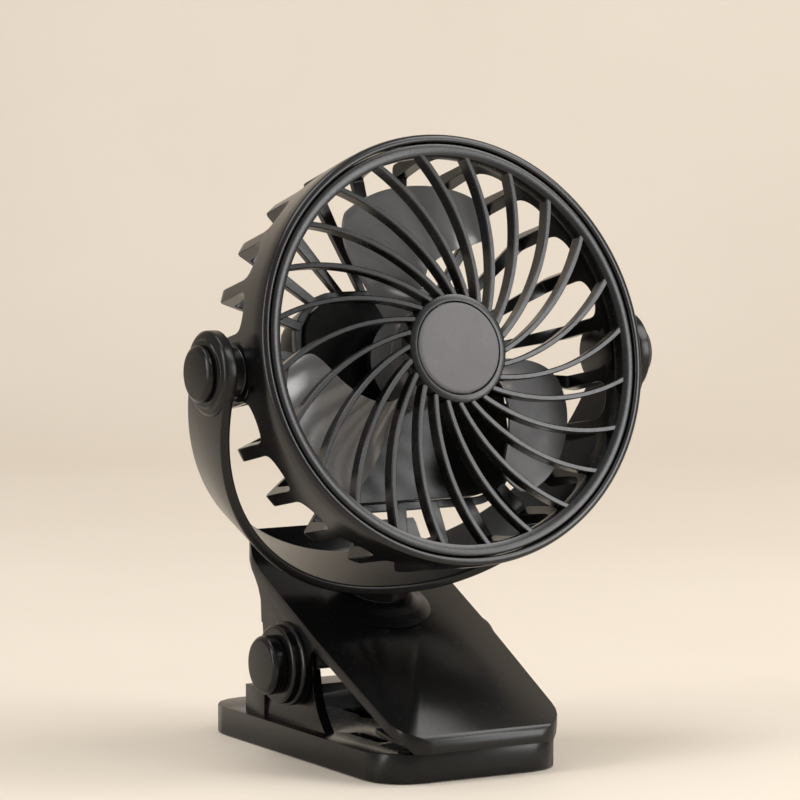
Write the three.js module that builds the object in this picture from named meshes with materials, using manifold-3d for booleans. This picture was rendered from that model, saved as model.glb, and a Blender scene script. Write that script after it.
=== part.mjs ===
// Rechargeable clip fan: a spring clamp, a leaning swivel, a U-shaped yoke and a round fan head.
// Millimetres, +Z up, the fan faces -Y, the origin is the centre of the base's underside.

import * as THREE from 'three';
import { mergeVertices } from 'three/addons/utils/BufferGeometryUtils.js';
import Module from 'manifold-3d';

const wasm = await Module();
wasm.setup();

const DEG = Math.PI / 180;
const GAP = 0.3; // air between two pieces that touch

// ---------------------------------------------------------------- driving dimensions

// base, the lower jaw of the clamp
const BASE_LENGTH = 132;
const BASE_WIDTH = 73;
const BASE_HEIGHT = 10.2;
const BASE_CORNER = 15;
const BASE_WALL = 2.4;
const BASE_UNDER = 0.5; // the rubber sole stands out this far below the shell
const COVER_UNDER = 0.8;
const COVER_TOP = 2.6;
const SOLE_TOP = 1.2;
const SOLE_HALF_WIDTH = 18;
const SOLE_HALF_LENGTH = 54;

// clip pivot
const PIVOT_Y = 6;
const PIVOT_Z = 32;
const PIN_RADIUS = 3;
const EAR_INNER_X = 29.2;
const EAR_OUTER_X = 31.6;
const EAR_WEB_X = 27.8;
const EAR_LOBE = 11.5;
const CHEEK_INNER_X = 32.2;
const CHEEK_OUTER_X = 34.6;
const CHEEK_LOBE = 14.6;
const FLANGE_RADIUS = 13.6;
const FLANGE_X = 39.6;
const PIVOT_CAP_RADIUS = 10.3;
const PIVOT_CAP_X = 45.4;

// upper jaw: its top is a plane that climbs from the tip to the rear lip
const JAW_SLOPE = 25 * DEG;
const JAW_HALF_WIDTH = 33; // at the tip
const JAW_REAR_HALF_WIDTH = 34.6; // flush with the cheeks
const JAW_FULL_WIDTH_Y = -14;
const JAW_TIP_Y = -71.3;
const JAW_TIP_Z = 16.8; // top edge at the tip
const JAW_TIP_UNDER = 11; // lowest edge at the tip
const JAW_BAND = 4.4; // height of the side skirt, straight down
const JAW_SKIN = 2.4;
const JAW_TIP_CORNER = 12;
const LIP_Y = 36.5;
const LIP_Z = 75.5;

// swivel: its axis leans forward, square to the seat on the upper jaw
const LEAN = 22 * DEG;
const SWIVEL_Y = 6;
const SWIVEL_Z = 52.9;
const SEAT_RADIUS = 15.5;
const SEAT_TOP = 3;
const COLLAR_RADIUS = 12.2;
const POST_RADIUS = 5;

// yoke, measured from the foot of the swivel axis
const TILT_HEIGHT = 92;
const YOKE_HALF_WIDTH = 79.5; // inside, at the tilt pins
const YOKE_DROP = 80; // inside, from the tilt pins down to the bottom
const YOKE_POWER = 2.15; // exponent of the band's curve: 2 is a plain ellipse
const YOKE_THICKNESS = 3.5;
const YOKE_FRONT = 14;
const YOKE_BACK = 12.5;
const PAD_RADIUS = 14.4;
const ARM_BOSS_RADIUS = 11.2;
const YOKE_CAP_RADIUS = 9.6;

// head, measured along its own axis: z forward, from the plane of the tilt pins
const HEAD_TILT = 13.7 * DEG;
const HEAD_RISE = 1; // the head's axis lies this far above the tilt pins
const RIM_RADIUS = 74;
const RIM_FRONT = 23.6;
const SEAM_RADIUS = 71;
const BARREL_BACK_RADIUS = 71.6;
const BARREL_BACK = -17;
const BARREL_WALL = 2.4;
const FIN_COUNT = 24;
const FIN_WIDTH = 5.2;
const SLOT_FRONT = 6; // the slots between the fins end here, round
const GRILLE_RING_INNER = 66.4;
const GRILLE_FACE = 22.6;
const RIB_COUNT = 24;
const RIB_WIDTH = 1.9;
const RIB_DEPTH = 5.4;
const RIB_FIRST = 3.7 * DEG; // where the first rib meets the ring
const RIB_ARC_RADIUS = 75; // each rib is an arc about a point beside the head's axis
const RIB_ARC_X = 26.3;
const RIB_ARC_Y = 62.6;
const RIB_ARC_HUB = -99 * DEG;
const RIB_ARC_RIM = -56.6 * DEG;
const HUB_RADIUS = 18.7;
const HUB_INNER = 15.9;
const HUB_FACE = 24.6;
const HUB_DISC_FACE = 25.4;

// impeller
const BLADE_COUNT = 3;
const BLADE_RADIUS = 60;
const BLADE_THICKNESS = 1.5;
const BLADE_TRAILING = 120 * DEG; // the first blade's two edges at the hub
const BLADE_LEADING = 100 * DEG;
const BLADE_PITCH_DEPTH = 8.5;
const IMPELLER_HUB_RADIUS = 17;
const IMPELLER_FRONT = 12;
const IMPELLER_BACK = -7;

// pod with motor, cells and electronics, behind the impeller
const POD_HALF_WIDTH = 37;
const POD_TOP = 24;
const POD_BOTTOM = -46.5;
const POD_CORNER = 14;
const POD_FRONT = -14;
const POD_SPLIT = -24; // where the pod's two halves meet
const POD_BACK = -36;
const POD_WALL = 1.6;

const FINE = 48;
const ROUND = 24;
const SMALL = 12;

// ---------------------------------------------------------------- solids

function toSolid(geometry) {
  const bare = new THREE.BufferGeometry();
  bare.setAttribute('position', geometry.getAttribute('position').clone());
  if (geometry.index) bare.setIndex(geometry.index.clone());
  const merged = mergeVertices(bare, 1e-4);
  const vertProperties = new Float32Array(merged.getAttribute('position').array);
  const triVerts = new Uint32Array(merged.index.array);
  return new wasm.Manifold(new wasm.Mesh({ numProp: 3, vertProperties, triVerts }));
}

function toGeometry(solid) {
  const mesh = solid.getMesh();
  const geometry = new THREE.BufferGeometry();
  geometry.setAttribute('position', new THREE.BufferAttribute(new Float32Array(mesh.vertProperties), 3));
  geometry.setIndex(new THREE.BufferAttribute(new Uint32Array(mesh.triVerts), 1));
  return geometry;
}

function join(...geometries) {
  return toGeometry(geometries.map(toSolid).reduce((whole, next) => whole.add(next)));
}

function cut(body, ...tools) {
  return toGeometry(tools.map(toSolid).reduce((whole, tool) => whole.subtract(tool), toSolid(body)));
}

function common(a, b) {
  return toGeometry(toSolid(a).intersect(toSolid(b)));
}

// an outline in X and Y, extruded from z0 up to z1
function prism(outline, z0, z1, holes = [], curveSegments = 8) {
  const shape = new THREE.Shape(outline);
  holes.forEach((hole) => shape.holes.push(new THREE.Path(hole)));
  const solid = new THREE.ExtrudeGeometry(shape, { depth: z1 - z0, bevelEnabled: false, curveSegments });
  return solid.translate(0, 0, z0);
}

// an outline in Y and Z, extruded along X from x0 to x1
function sidePrism(outline, x0, x1, holes = []) {
  const turned = prism(outline, x0, x1, holes);
  // (a, b, c) becomes (c, a, b), which keeps the faces pointing out
  const axes = new THREE.Matrix4().set(0, 0, 1, 0, 1, 0, 0, 0, 0, 1, 0, 0, 0, 0, 0, 1);
  return turned.applyMatrix4(axes);
}

// a closed profile of [radius, height] points, in either direction, turned about Z
function turned(profile, segments = ROUND) {
  const points = profile.map(([r, z]) => new THREE.Vector2(r, z));
  if (THREE.ShapeUtils.area(points) < 0) points.reverse();
  return new THREE.LatheGeometry(points, segments).rotateX(Math.PI / 2);
}

function cylinder(radius, z0, z1, segments = ROUND) {
  return new THREE.CylinderGeometry(radius, radius, z1 - z0, segments)
    .rotateX(Math.PI / 2)
    .translate(0, 0, (z0 + z1) / 2);
}

// a cylinder along X
function axle(radius, x0, x1, y, z, segments = ROUND) {
  return cylinder(radius, x0, x1, segments).rotateY(Math.PI / 2).translate(0, y, z);
}

function box(x0, x1, y0, y1, z0, z1) {
  return new THREE.BoxGeometry(x1 - x0, y1 - y0, z1 - z0)
    .translate((x0 + x1) / 2, (y0 + y1) / 2, (z0 + z1) / 2);
}

function mirrored(geometry) {
  const copy = geometry.clone().scale(-1, 1, 1);
  const flat = copy.index ? copy.toNonIndexed() : copy;
  const position = flat.getAttribute('position');
  for (let i = 0; i < position.count; i += 3) {
    const [x, y, z] = [position.getX(i), position.getY(i), position.getZ(i)];
    position.setXYZ(i, position.getX(i + 1), position.getY(i + 1), position.getZ(i + 1));
    position.setXYZ(i + 1, x, y, z);
  }
  return flat;
}

function arcPoints(cx, cy, radius, from, to, steps) {
  const points = [];
  for (let i = 0; i <= steps; i += 1) {
    const angle = from + ((to - from) * i) / steps;
    points.push(new THREE.Vector2(cx + radius * Math.cos(angle), cy + radius * Math.sin(angle)));
  }
  return points;
}

function roundedRect(x0, x1, y0, y1, radius, steps = 4) {
  const quarter = Math.PI / 2;
  return [
    ...arcPoints(x0 + radius, y0 + radius, radius, 2 * quarter, 3 * quarter, steps),
    ...arcPoints(x1 - radius, y0 + radius, radius, 3 * quarter, 4 * quarter, steps),
    ...arcPoints(x1 - radius, y1 - radius, radius, 0, quarter, steps),
    ...arcPoints(x0 + radius, y1 - radius, radius, quarter, 2 * quarter, steps),
  ];
}

function polygon(...pairs) {
  return pairs.map(([a, b]) => new THREE.Vector2(a, b));
}

// a smooth run of points through the given pairs
function smooth(pairs, steps) {
  const points = pairs.map(([a, b]) => new THREE.Vector3(a, b, 0));
  return new THREE.CatmullRomCurve3(points).getPoints(steps).map((p) => new THREE.Vector2(p.x, p.y));
}

// ---------------------------------------------------------------- scene helpers

const BLACK = { color: 0x1d1d1f, roughness: 0.42, metalness: 0 };
const BARREL_BLACK = { color: 0x2a2a2c, roughness: 0.4, metalness: 0 };
const GREY = { color: 0x77757a, roughness: 0.55, metalness: 0 };
const BLADE_GREY = { color: 0x55575a, roughness: 0.3, metalness: 0 };
const RUBBER = { color: 0x161616, roughness: 0.85, metalness: 0 };
const STEEL = { color: 0xa8a9ab, roughness: 0.35, metalness: 1 };
const CELL = { color: 0x2d5a8c, roughness: 0.4, metalness: 0 };
const BOARD = { color: 0x1f5b36, roughness: 0.6, metalness: 0 };
const LENS = { color: 0x9fc7e8, roughness: 0.15, metalness: 0 };

function addPart(group, name, geometry, look) {
  const mesh = new THREE.Mesh(geometry, new THREE.MeshStandardMaterial(look));
  mesh.name = name;
  group.add(mesh);
}

function addPair(group, name, rightGeometry, look) {
  addPart(group, `${name}_right`, rightGeometry, look);
  addPart(group, `${name}_left`, mirrored(rightGeometry), look);
}

// ---------------------------------------------------------------- base

const HALF_L = BASE_LENGTH / 2;
const HALF_W = BASE_WIDTH / 2;
const BLOCK_FRONT = 27;
const BLOCK_BACK = 41;
const BLOCK_TOP = 19.6;
const BLOCK_STEP = 21.4;
const PAD_FRONT = -61;
const PAD_REAR = -42;
const PAD_HALF = 27;

function baseOutline(inset) {
  return roundedRect(-HALF_W + inset, HALF_W - inset, -HALF_L + inset, HALF_L - inset, BASE_CORNER - inset);
}

// the ear carries the pin: a lobe on a foot that flares to the front and the back
function earOutline() {
  const top = BASE_HEIGHT - 1;
  const front = smooth([[-16.5, top], [-11.5, 14.5], [-7.6, 22], [-5.5, 31]], 6);
  const lobe = arcPoints(PIVOT_Y, PIVOT_Z, EAR_LOBE, 180 * DEG, 0, 8);
  const rear = smooth([[17.8, 30], [21, 21.5], [26, 15], [33, top]], 6);
  return [...front, ...lobe, ...rear];
}

function earWebOutline() {
  const top = BASE_HEIGHT - 1;
  const outer = smooth([[-16.5, top], [-11.5, 14.5], [-7.6, 22], [-5.5, 31]], 6);
  const inner = smooth([[-3.6, 31], [-5.5, 22], [-9.2, 14.5], [-14, top]], 6);
  return [...outer, ...inner];
}

function baseShell() {
  const tray = cut(
    prism(baseOutline(0), BASE_UNDER, BASE_HEIGHT),
    prism(baseOutline(BASE_WALL), -1, BASE_HEIGHT - BASE_WALL),
  );
  const ear = join(
    sidePrism(earOutline(), EAR_INNER_X, EAR_OUTER_X),
    sidePrism(earWebOutline(), EAR_WEB_X, EAR_INNER_X + 0.5),
  );
  const block = join(
    box(-HALF_W + 4, HALF_W - 4, BLOCK_FRONT, BLOCK_BACK, BASE_HEIGHT - 1, BLOCK_TOP),
    box(6, HALF_W - 4, BLOCK_FRONT + 1.5, BLOCK_BACK - 1.5, BASE_HEIGHT, BLOCK_STEP),
  );
  const blockHollow = box(
    -HALF_W + 7, HALF_W - 7, BLOCK_FRONT + 2.4, BLOCK_BACK - 2.4, BASE_HEIGHT - BASE_WALL - 1, BLOCK_TOP - 2.4,
  );
  const pinHole = axle(PIN_RADIUS + GAP, -40, 40, PIVOT_Y, PIVOT_Z, SMALL);
  const rearSlot = prism(roundedRect(-2.6, 2.6, 4, 26, 2.5, 3), 5, 12);
  const rearSlotHead = cylinder(4.6, 5, 12, ROUND).translate(0, 8, 0);
  const frontSlot = prism(roundedRect(-24, -19.5, -58 + 18, -36 + 18, 2.2, 3), 5, 12);
  const padRecess = prism(roundedRect(-PAD_HALF, PAD_HALF, PAD_FRONT, PAD_REAR, 5, 3), BASE_HEIGHT - 1.4, 12);
  const shell = join(tray, ear, mirrored(ear), block);
  const screwPosts = screwSpots().map(([x, y]) => cylinder(3.4, COVER_TOP + GAP, BASE_HEIGHT - 1, SMALL).translate(x, y, 0));
  const pilotHoles = screwSpots().map(([x, y]) => cylinder(1.4, COVER_TOP - 1, 7, SMALL).translate(x, y, 0));
  return cut(join(cut(shell, blockHollow), ...screwPosts), pinHole, rearSlot, rearSlotHead, frontSlot, padRecess, ...pilotHoles);
}

function screwSpots() {
  const x = HALF_W - 9;
  const y = HALF_L - 24;
  return [[-x, -y], [x, -y], [-x, y], [x, y]];
}

function soleOutline(growth) {
  const x = SOLE_HALF_WIDTH + growth;
  const y = SOLE_HALF_LENGTH + growth;
  return roundedRect(-x, x, -y, y, 8);
}

function baseCover() {
  const plate = prism(baseOutline(BASE_WALL + GAP), COVER_UNDER, COVER_TOP);
  const soleRecess = prism(soleOutline(GAP), -1, SOLE_TOP + GAP);
  const holes = screwSpots().map(([x, y]) => cylinder(1.7, -1, 4, SMALL).translate(x, y, 0));
  const sinks = screwSpots().map(([x, y]) => cylinder(3.1, -1, COVER_UNDER + 1, SMALL).translate(x, y, 0));
  return cut(plate, soleRecess, ...holes, ...sinks);
}

function rubberSole() {
  return prism(soleOutline(0), 0, SOLE_TOP);
}

function coverScrew() {
  const seat = COVER_UNDER + 1 - GAP;
  return turned([[0, COVER_UNDER], [2.7, COVER_UNDER], [2.7, seat], [1.2, seat], [1.2, 6.2], [0, 6.2]], SMALL);
}

function lowerGripPad() {
  const plate = prism(
    roundedRect(-PAD_HALF + GAP, PAD_HALF - GAP, PAD_FRONT + GAP, PAD_REAR - GAP, 5, 3),
    BASE_HEIGHT - 1.4 + GAP,
    BASE_HEIGHT + 0.2,
  );
  const grooves = [-57.5, -54.5, -51.5, -48.5, -45.5].map((y) => box(-PAD_HALF, PAD_HALF, y - 0.5, y + 0.5, BASE_HEIGHT - 0.4, 12));
  return cut(plate, ...grooves);
}

// ---------------------------------------------------------------- clip pivot

const SPRING_WIRE = 1.5;
const SPRING_MEAN = 6.2;
const SPRING_TURNS = 7;
const SPRING_PITCH = 2.6;
const SPRING_LEG = 17;

// torsion spring: a leg on the base, the coil round the pin and a leg under the jaw
class SpringPath extends THREE.Curve {
  getPoint(t, target = new THREE.Vector3()) {
    const coil = SPRING_TURNS * 2 * Math.PI * SPRING_MEAN;
    const along = t * (coil + 2 * SPRING_LEG) - SPRING_LEG;
    const start = -60 * DEG;
    const end = start + SPRING_TURNS * 2 * Math.PI;
    const turn = THREE.MathUtils.clamp(start + along / SPRING_MEAN, start, end);
    const spare = along < 0 ? along : Math.max(0, along - coil);
    const x = ((turn - start) / (2 * Math.PI) - SPRING_TURNS / 2) * SPRING_PITCH;
    const y = SPRING_MEAN * Math.cos(turn) - spare * Math.sin(turn);
    const z = SPRING_MEAN * Math.sin(turn) + spare * Math.cos(turn);
    return target.set(x, PIVOT_Y + y, PIVOT_Z + z);
  }
}

const SPRING_STEPS_PER_TURN = 8;
const SPRING_SIDES = 5;

// the tube is skinned ring by ring, so that it stays one unbroken body
function springStations() {
  const coil = SPRING_TURNS * 2 * Math.PI * SPRING_MEAN;
  const total = coil + 2 * SPRING_LEG;
  const stations = [0];
  for (let i = 0; i <= SPRING_TURNS * SPRING_STEPS_PER_TURN; i += 1) {
    stations.push((SPRING_LEG + (coil * i) / (SPRING_TURNS * SPRING_STEPS_PER_TURN)) / total);
  }
  stations.push(1);
  return stations;
}

function clipSpring() {
  const path = new SpringPath();
  const stations = springStations();
  const centres = stations.map((t) => path.getPoint(t));
  const rings = centres.map((centre, i) => {
    const before = centres[Math.max(0, i - 1)];
    const after = centres[Math.min(centres.length - 1, i + 1)];
    const tangent = after.clone().sub(before).normalize();
    const side = new THREE.Vector3(1, 0, 0).cross(tangent).normalize();
    const up = tangent.clone().cross(side);
    return Array.from({ length: SPRING_SIDES }, (_, k) => {
      const angle = (k / SPRING_SIDES) * 2 * Math.PI;
      return centre.clone()
        .addScaledVector(side, (SPRING_WIRE / 2) * Math.cos(angle))
        .addScaledVector(up, (SPRING_WIRE / 2) * Math.sin(angle));
    });
  });
  printSpringGap(centres);
  return skin(rings);
}

function printSpringGap(centres) {
  let least = Infinity;
  const near = SPRING_STEPS_PER_TURN / 2;
  centres.forEach((a, i) => {
    centres.slice(i + near).forEach((b) => {
      least = Math.min(least, a.distanceTo(b) - SPRING_WIRE);
    });
  });
  console.log(`clip spring: least gap to itself ${least.toFixed(2)} mm`);
}

// joins rings of equal length into a closed tube with flat ends
function skin(rings) {
  const sides = rings[0].length;
  const positions = rings.flat().flatMap((p) => [p.x, p.y, p.z]);
  const index = [];
  for (let i = 0; i < rings.length - 1; i += 1) {
    for (let k = 0; k < sides; k += 1) {
      const a = i * sides + k;
      const b = i * sides + ((k + 1) % sides);
      index.push(a, b, a + sides, b, b + sides, a + sides);
    }
  }
  const last = (rings.length - 1) * sides;
  for (let k = 1; k < sides - 1; k += 1) {
    index.push(0, k + 1, k);
    index.push(last, last + k, last + k + 1);
  }
  const geometry = new THREE.BufferGeometry();
  geometry.setAttribute('position', new THREE.Float32BufferAttribute(positions, 3));
  geometry.setIndex(index);
  return geometry;
}

function clipPin() {
  return axle(PIN_RADIUS, -CHEEK_OUTER_X - 2.5, CHEEK_OUTER_X + 2.5, PIVOT_Y, PIVOT_Z, SMALL);
}

function clipPinCap() {
  const seat = FLANGE_X + GAP;
  return turned([[0, seat], [PIVOT_CAP_RADIUS, seat], [PIVOT_CAP_RADIUS, PIVOT_CAP_X - 1.4],
    [PIVOT_CAP_RADIUS - 1.3, PIVOT_CAP_X], [0, PIVOT_CAP_X]])
    .rotateY(Math.PI / 2)
    .translate(0, PIVOT_Y, PIVOT_Z);
}

// ---------------------------------------------------------------- upper jaw

function jawTop(y) {
  return JAW_TIP_Z + (y - JAW_TIP_Y) * Math.tan(JAW_SLOPE);
}

// side view of the plate with its skirt and the rear lip
function jawOutline() {
  const top = [
    [JAW_TIP_Y, JAW_TIP_UNDER], [JAW_TIP_Y, JAW_TIP_Z - 1.6], [JAW_TIP_Y + 1.2, JAW_TIP_Z + 0.2],
    [26, jawTop(26)], [31, jawTop(31) + 1.6], [34, LIP_Z - 3.6],
  ];
  const lip = [[LIP_Y - 0.6, LIP_Z], [LIP_Y + 1.4, LIP_Z - 1.4], [LIP_Y + 2.2, 68]];
  const rear = [[34, 63.5], [30, 59.5], [27.4, 56], [25.6, 52], [25, 44]];
  const under = [[22.4, 44], [22.4, jawTop(22.4) - JAW_BAND - 1], [-8, 41.2], [-11.7, 39.4],
    [-20, jawTop(-20) - JAW_BAND], [-67.2, jawTop(-67.2) - JAW_BAND], [-69.4, JAW_TIP_UNDER]];
  return polygon(...top, ...lip, ...rear, ...under);
}

// the hollow below the plate, open downwards
function jawHollow() {
  const skin = JAW_SKIN / Math.cos(JAW_SLOPE);
  const points = [
    [JAW_TIP_Y + JAW_SKIN, JAW_TIP_UNDER - 5], [JAW_TIP_Y + JAW_SKIN, jawTop(JAW_TIP_Y + JAW_SKIN) - skin],
    [26, jawTop(26) - skin], [26, 56], [22.6, 52], [22.6, 40], [22.4, 0], [-60, 0],
  ];
  return sidePrism(polygon(...points), -JAW_REAR_HALF_WIDTH, JAW_REAR_HALF_WIDTH);
}

// plan view: round corners at the tip, and wider from the tip to the cheeks
function jawPlan(inset) {
  const tip = JAW_HALF_WIDTH - inset;
  const rear = JAW_REAR_HALF_WIDTH - inset;
  const corner = JAW_TIP_CORNER - inset;
  const tipY = JAW_TIP_Y + JAW_TIP_CORNER;
  return [
    ...arcPoints(-tip + corner, tipY, corner, 180 * DEG, 270 * DEG, 6),
    ...arcPoints(tip - corner, tipY, corner, 270 * DEG, 360 * DEG, 6),
    ...polygon([rear, JAW_FULL_WIDTH_Y]),
    ...arcPoints(rear - 8, 32, 8, 0, 90 * DEG, 4),
    ...arcPoints(-rear + 8, 32, 8, 90 * DEG, 180 * DEG, 4),
    ...polygon([-rear, JAW_FULL_WIDTH_Y]),
  ];
}

// the cheek reaches down from the plate and round the pivot
function cheekOutline() {
  const front = smooth([[-15, jawTop(-15) - 3], [-11.5, 38.2], [-8.6, 33.5]], 4);
  const lobe = arcPoints(PIVOT_Y, PIVOT_Z, CHEEK_LOBE, 184 * DEG, 338 * DEG, 9);
  const rear = smooth([[23.2, 36], [24.2, 44], [24.6, 54]], 4);
  return [...front, ...lobe, ...rear, ...polygon([22, jawTop(22) - 1.2], [-14, jawTop(-14) - 1.2])];
}

function cheek() {
  const plate = sidePrism(cheekOutline(), CHEEK_INNER_X, CHEEK_OUTER_X);
  const bridge = sidePrism(
    polygon([-14, jawTop(-14) - 3.4], [22, jawTop(22) - 3.4], [22, jawTop(22) - 1.2], [-14, jawTop(-14) - 1.2]),
    JAW_HALF_WIDTH - 2,
    CHEEK_OUTER_X,
  );
  const flange = turned([[0, CHEEK_OUTER_X - 1], [CHEEK_LOBE, CHEEK_OUTER_X - 1], [CHEEK_LOBE, CHEEK_OUTER_X + 1.2],
    [FLANGE_RADIUS, CHEEK_OUTER_X + 1.7], [FLANGE_RADIUS, FLANGE_X - 0.6], [FLANGE_RADIUS - 0.8, FLANGE_X],
    [0, FLANGE_X]])
    .rotateY(Math.PI / 2)
    .translate(0, PIVOT_Y, PIVOT_Z);
  return join(plate, bridge, flange);
}

function toSwivel(geometry) {
  return geometry.rotateX(LEAN).translate(0, SWIVEL_Y, SWIVEL_Z);
}

function upperJaw() {
  const wedge = sidePrism(jawOutline(), -JAW_REAR_HALF_WIDTH, JAW_REAR_HALF_WIDTH);
  const hollow = common(jawHollow(), prism(jawPlan(JAW_SKIN), -10, 100));
  const shell = cut(common(wedge, prism(jawPlan(0), 0, 100)), hollow);
  const seat = toSwivel(turned([[0, -3], [SEAT_RADIUS + 3, -3], [SEAT_RADIUS + 1.5, 0.4], [SEAT_RADIUS - 2, SEAT_TOP - 0.5],
    [SEAT_RADIUS - 3, SEAT_TOP], [0, SEAT_TOP]]));
  const postHole = toSwivel(cylinder(POST_RADIUS + GAP, -12, 12, SMALL + 2));
  const wellHole = toSwivel(cylinder(9.6, -12, -3.01, ROUND));
  const pinHole = axle(PIN_RADIUS + GAP, -CHEEK_OUTER_X - 2.5 - GAP, CHEEK_OUTER_X + 2.5 + GAP, PIVOT_Y, PIVOT_Z, SMALL);
  const right = cheek();
  return cut(join(shell, seat, right, mirrored(right)), postHole, wellHole, pinHole);
}

const LINER_FRONT = JAW_TIP_Y + JAW_SKIN + GAP;
const LINER_REAR = -48;
const LINER_UNDER = 12.6;

function jawLiner() {
  const clear = JAW_SKIN / Math.cos(JAW_SLOPE) + GAP;
  const side = polygon([LINER_FRONT, LINER_UNDER], [LINER_REAR, LINER_UNDER + 2.6], [LINER_REAR, LINER_UNDER + 4.4],
    [LINER_FRONT + 1, LINER_UNDER + 1.9 - 0.3], [LINER_FRONT, Math.min(LINER_UNDER + 1.5, jawTop(LINER_FRONT) - clear)]);
  const wide = JAW_HALF_WIDTH - JAW_SKIN - GAP;
  const plate = sidePrism(side, -wide, wide);
  const corner = JAW_TIP_CORNER - JAW_SKIN;
  const plan = prism(
    [...arcPoints(-wide + corner, LINER_FRONT + corner, corner, 180 * DEG, 270 * DEG, 5),
      ...arcPoints(wide - corner, LINER_FRONT + corner, corner, 270 * DEG, 360 * DEG, 5),
      new THREE.Vector2(wide, 0), new THREE.Vector2(-wide, 0)],
    0,
    60,
  );
  return common(plate, plan);
}

function upperGripPad() {
  return box(-24, 24, -63, -52, LINER_UNDER - 1.6, LINER_UNDER - GAP + 0.3);
}

// ---------------------------------------------------------------- swivel parts, on the leaning axis

function swivelWasher() {
  return cut(cylinder(10.6, SEAT_TOP + GAP, SEAT_TOP + 0.9), cylinder(POST_RADIUS + GAP, 0, 6, SMALL + 2));
}

function springWasher() {
  return cut(cylinder(8.4, -4.3, -3.3), cylinder(POST_RADIUS + GAP, -6, 0, SMALL + 2));
}

function swivelScrew() {
  return turned([[0, -7.6], [5.2, -7.6], [6.6, -6.8], [6.6, -4.6], [2.2, -4.6], [2.2, 6], [0, 6]]);
}

// ---------------------------------------------------------------- yoke

const ARM_OUT = YOKE_HALF_WIDTH + YOKE_THICKNESS;
const COLLAR_TOP = TILT_HEIGHT - YOKE_DROP - YOKE_THICKNESS;

// half of a superellipse, from the left arm down round the bottom to the right arm
function yokeCurve(halfWidth, drop, steps) {
  return Array.from({ length: steps + 1 }, (_, i) => {
    const angle = Math.PI * (1 + i / steps);
    const c = Math.cos(angle);
    const s = Math.sin(angle);
    const x = halfWidth * Math.sign(c) * Math.abs(c) ** (2 / YOKE_POWER);
    const z = TILT_HEIGHT - drop * Math.abs(s) ** (2 / YOKE_POWER);
    return new THREE.Vector2(x, z);
  });
}

function yokeBand() {
  const steps = 26;
  const outer = yokeCurve(ARM_OUT, YOKE_DROP + YOKE_THICKNESS, steps);
  const inner = yokeCurve(YOKE_HALF_WIDTH, YOKE_DROP, steps).reverse();
  return prism([...outer, ...inner], 0, YOKE_FRONT + YOKE_BACK).rotateX(Math.PI / 2).translate(0, YOKE_BACK, 0);
}

function yokeArmEnd() {
  const pad = axle(PAD_RADIUS, YOKE_HALF_WIDTH, ARM_OUT, 0, TILT_HEIGHT);
  const boss = turned([[0, ARM_OUT - 1], [PAD_RADIUS - 1.4, ARM_OUT - 1], [PAD_RADIUS - 1.4, ARM_OUT + 0.4],
    [ARM_BOSS_RADIUS, ARM_OUT + 1], [ARM_BOSS_RADIUS, ARM_OUT + 2.2], [0, ARM_OUT + 2.2]])
    .rotateY(Math.PI / 2)
    .translate(0, 0, TILT_HEIGHT);
  return join(pad, boss);
}

function yokeBracket() {
  const arm = yokeArmEnd();
  const collar = turned([[0, SEAT_TOP + 1.2], [COLLAR_RADIUS - 0.5, SEAT_TOP + 1.2], [COLLAR_RADIUS, SEAT_TOP + 1.7],
    [COLLAR_RADIUS, COLLAR_TOP], [COLLAR_RADIUS + 1.5, COLLAR_TOP + 1.4], [0, COLLAR_TOP + 1.4]]);
  const post = cylinder(POST_RADIUS, -3, SEAT_TOP + 2, SMALL + 2);
  const whole = join(yokeBand(), arm, mirrored(arm), collar, post);
  const screwHole = cylinder(2.2 + GAP, -6, 6 + GAP, SMALL);
  const pinHole = axle(TILT_PIN_RADIUS + GAP, -100, 100, 0, TILT_HEIGHT, SMALL);
  const well = axle(TILT_HEAD_RADIUS + GAP, ARM_OUT - 0.2, 100, 0, TILT_HEIGHT, SMALL);
  const washerSeat = axle(BOSS_RADIUS + 1, BOSS_X - 3, YOKE_HALF_WIDTH, 0, TILT_HEIGHT);
  return cut(whole, screwHole, pinHole, well, mirrored(well), washerSeat, mirrored(washerSeat));
}

const TILT_PIN_RADIUS = 2.4;
const TILT_HEAD_RADIUS = 4.6;

function yokeCap() {
  const seat = ARM_OUT + 2.2 + GAP;
  return turned([[0, seat], [YOKE_CAP_RADIUS, seat], [YOKE_CAP_RADIUS, seat + 1.6], [YOKE_CAP_RADIUS - 1.2, seat + 2.6],
    [0, seat + 2.9]], 28)
    .rotateY(Math.PI / 2)
    .translate(0, 0, TILT_HEIGHT);
}

// ---------------------------------------------------------------- head: barrel and rear cage

const BOSS_X = 78.4;
const BOSS_RADIUS = 8.5;

// barrel wall and rear face as one turned shell, before the slots are cut
function barrelShell() {
  const wall = BARREL_WALL;
  const back = BARREL_BACK;
  const outer = [
    [SEAM_RADIUS + 0.1, RIM_FRONT], [RIM_RADIUS - 0.9, RIM_FRONT - 0.5], [RIM_RADIUS, RIM_FRONT - 2.2],
    [RIM_RADIUS - 1, SLOT_FRONT], [BARREL_BACK_RADIUS, back + 1.2], [BARREL_BACK_RADIUS - 1, back], [0, back - 3],
  ];
  const inner = [
    [0, back - 3 + wall], [BARREL_BACK_RADIUS - 5, back + wall], [RIM_RADIUS - 1.6 - wall, SLOT_FRONT],
    [SEAM_RADIUS + 0.1, 16.2],
  ];
  return turned([...inner, ...outer], FINE);
}

function podOutline(inset) {
  return roundedRect(-POD_HALF_WIDTH + inset, POD_HALF_WIDTH - inset, POD_BOTTOM + inset, POD_TOP - inset, POD_CORNER - inset, 4);
}

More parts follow.
